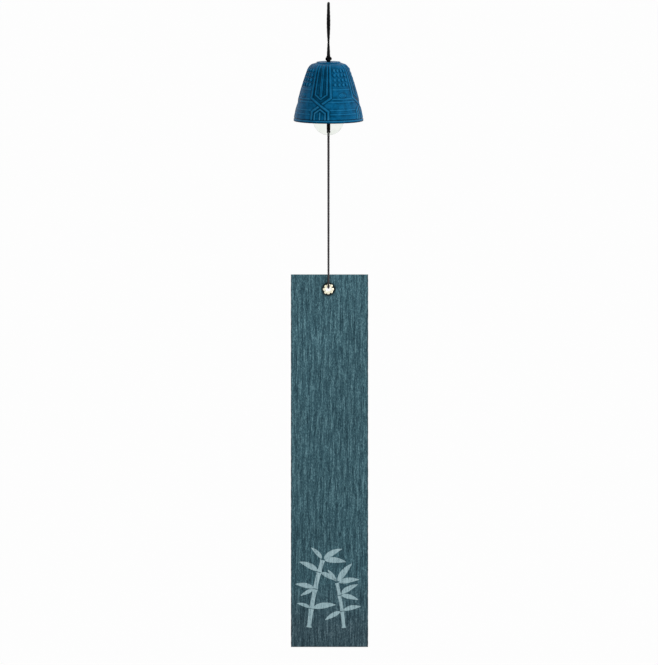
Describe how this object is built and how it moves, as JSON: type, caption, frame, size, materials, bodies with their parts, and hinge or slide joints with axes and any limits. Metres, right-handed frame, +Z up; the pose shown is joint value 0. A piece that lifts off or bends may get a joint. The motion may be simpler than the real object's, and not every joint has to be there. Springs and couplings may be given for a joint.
{
  "type": "wind bell",
  "caption": "Cast-iron furin wind bell on a cord loop, with a clear clapper disc inside and a long paper strip on a string that catches the wind.",
  "frame": {"origin": "the hook point: the inside of the hanging loop's fold, at its top", "axes": "+Z up along the hanging line, -Y toward the viewer, +X to the viewer's right"},
  "size_m": [0.075, 0.0676, 0.6276],
  "materials": {
    "black_cord": "twisted cord, matt",
    "blue_iron": "blue lacquer over cast iron, rubbed on the high lines",
    "clear_plastic": "clear, polished",
    "charcoal_string": "fine twisted string",
    "crepe_paper": "crepe paper with fine upright wrinkles",
    "pale_brass": "pale bright metal"
  },
  "bodies": {
    "hanger": {"hanging_loop": "black_cord"},
    "crown_knot": {"crown_knot": "black_cord"},
    "neck": {"crown_cord": "black_cord"},
    "bell": {"bell": "blue_iron"},
    "stopper": {"stopper_knot": "black_cord"},
    "clapper": {"clapper_cord": "black_cord", "clapper_disc": "clear_plastic"},
    "clapper_knot": {"clapper_knot": "charcoal_string"},
    "string": {"strip_string": "charcoal_string"},
    "strip": {"paper_strip": "crepe_paper", "eyelet": "pale_brass"}
  },
  "joints": [
    {"name": "bell_sway", "type": "hinge", "parent": "hanger", "child": "crown_knot", "pos_m": [0, 0, -0.0532], "axis": [0, 1, 0], "range_deg": [-20, 20]},
    {"name": "bell_nod", "type": "hinge", "parent": "crown_knot", "child": "neck", "pos_m": [0, 0, -0.0532], "axis": [1, 0, 0], "range_deg": [-20, 20]},
    {"name": "bell_turn", "type": "hinge", "parent": "neck", "child": "bell", "pos_m": [0, 0, -0.0585], "axis": [0, 0, 1], "continuous": true},
    {"name": "clapper_sway", "type": "hinge", "parent": "neck", "child": "stopper", "pos_m": [0, 0, -0.06316], "axis": [0, 1, 0], "range_deg": [-13, 13]},
    {"name": "clapper_nod", "type": "hinge", "parent": "stopper", "child": "clapper", "pos_m": [0, 0, -0.06316], "axis": [1, 0, 0], "range_deg": [-8, 10]},
    {"name": "strip_sway", "type": "hinge", "parent": "clapper", "child": "clapper_knot", "pos_m": [0, 0, -0.1242], "axis": [0, 1, 0], "range_deg": [-30, 30]},
    {"name": "strip_twist", "type": "hinge", "parent": "clapper_knot", "child": "string", "pos_m": [0, 0, -0.1242], "axis": [0, 0, 1], "continuous": true},
    {"name": "strip_tilt", "type": "hinge", "parent": "string", "child": "strip", "pos_m": [0, 0, -0.2761], "axis": [0, 1, 0], "range_deg": [-60, 60]}
  ]
}
